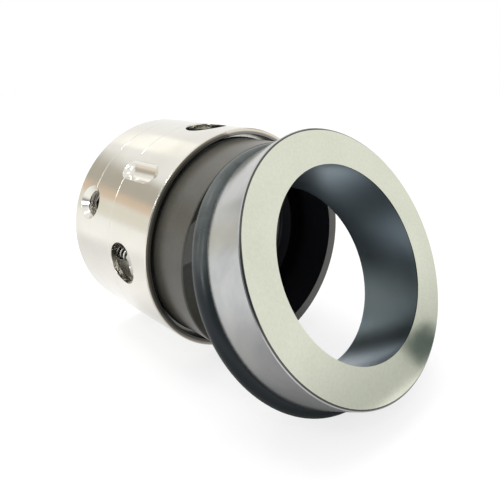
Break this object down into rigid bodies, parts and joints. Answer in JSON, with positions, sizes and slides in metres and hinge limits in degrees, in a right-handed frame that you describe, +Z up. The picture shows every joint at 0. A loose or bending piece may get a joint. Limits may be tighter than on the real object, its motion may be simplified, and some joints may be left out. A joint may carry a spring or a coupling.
{
  "type": "component mechanical seal",
  "caption": "Component shaft seal: spring-loaded rotary head in a polished steel shell, lying on its side, with its flanged stationary seat and O-ring leaning on the nose.",
  "frame": {"origin": "centre of the shaft bore at the collar's back face", "axes": "+X along the shaft axis from the collar to the nose, +Z up as the pair lies, +Y completes the right-handed set"},
  "size_m": [0.1069, 0.077, 0.0742],
  "materials": {
    "shell_steel": "polished stainless steel, turned",
    "plain_steel": "plain stainless steel",
    "screw_steel": "bright machined stainless steel",
    "spring_steel": "drawn spring wire",
    "ring_carbide": "matt dark grey sintered ceramic, lapped on its nose",
    "seat_carbide": "grey sintered ceramic, ground sides and a lapped mirror face",
    "o_ring_rubber": "satin black moulded rubber"
  },
  "bodies": {
    "shell": {"retainer": "shell_steel", "snap_ring": "plain_steel", "stationary_seat": "seat_carbide", "seat_o_ring": "o_ring_rubber", "set_screw_1": "screw_steel", "set_screw_2": "screw_steel", "set_screw_3": "screw_steel", "set_screw_4": "screw_steel", "spring_01": "spring_steel", "spring_02": "spring_steel", "spring_03": "spring_steel", "spring_04": "spring_steel", "spring_05": "spring_steel", "spring_06": "spring_steel", "spring_07": "spring_steel", "spring_08": "spring_steel", "spring_09": "spring_steel", "spring_10": "spring_steel", "spring_11": "spring_steel", "spring_12": "spring_steel"},
    "floating_ring": {"primary_ring": "ring_carbide", "shaft_o_ring": "o_ring_rubber", "thrust_disc": "plain_steel"}
  },
  "joints": [
    {"name": "ring_travel", "type": "slide", "parent": "shell", "child": "floating_ring", "axis": [1, 0, 0], "range_m": [-0.003, 0], "stiffness_N_per_m": 49000, "springref_m": 0.001, "deforming": ["spring_01", "spring_02", "spring_03", "spring_04", "spring_05", "spring_06", "spring_07", "spring_08", "spring_09", "spring_10", "spring_11", "spring_12"]}
  ]
}
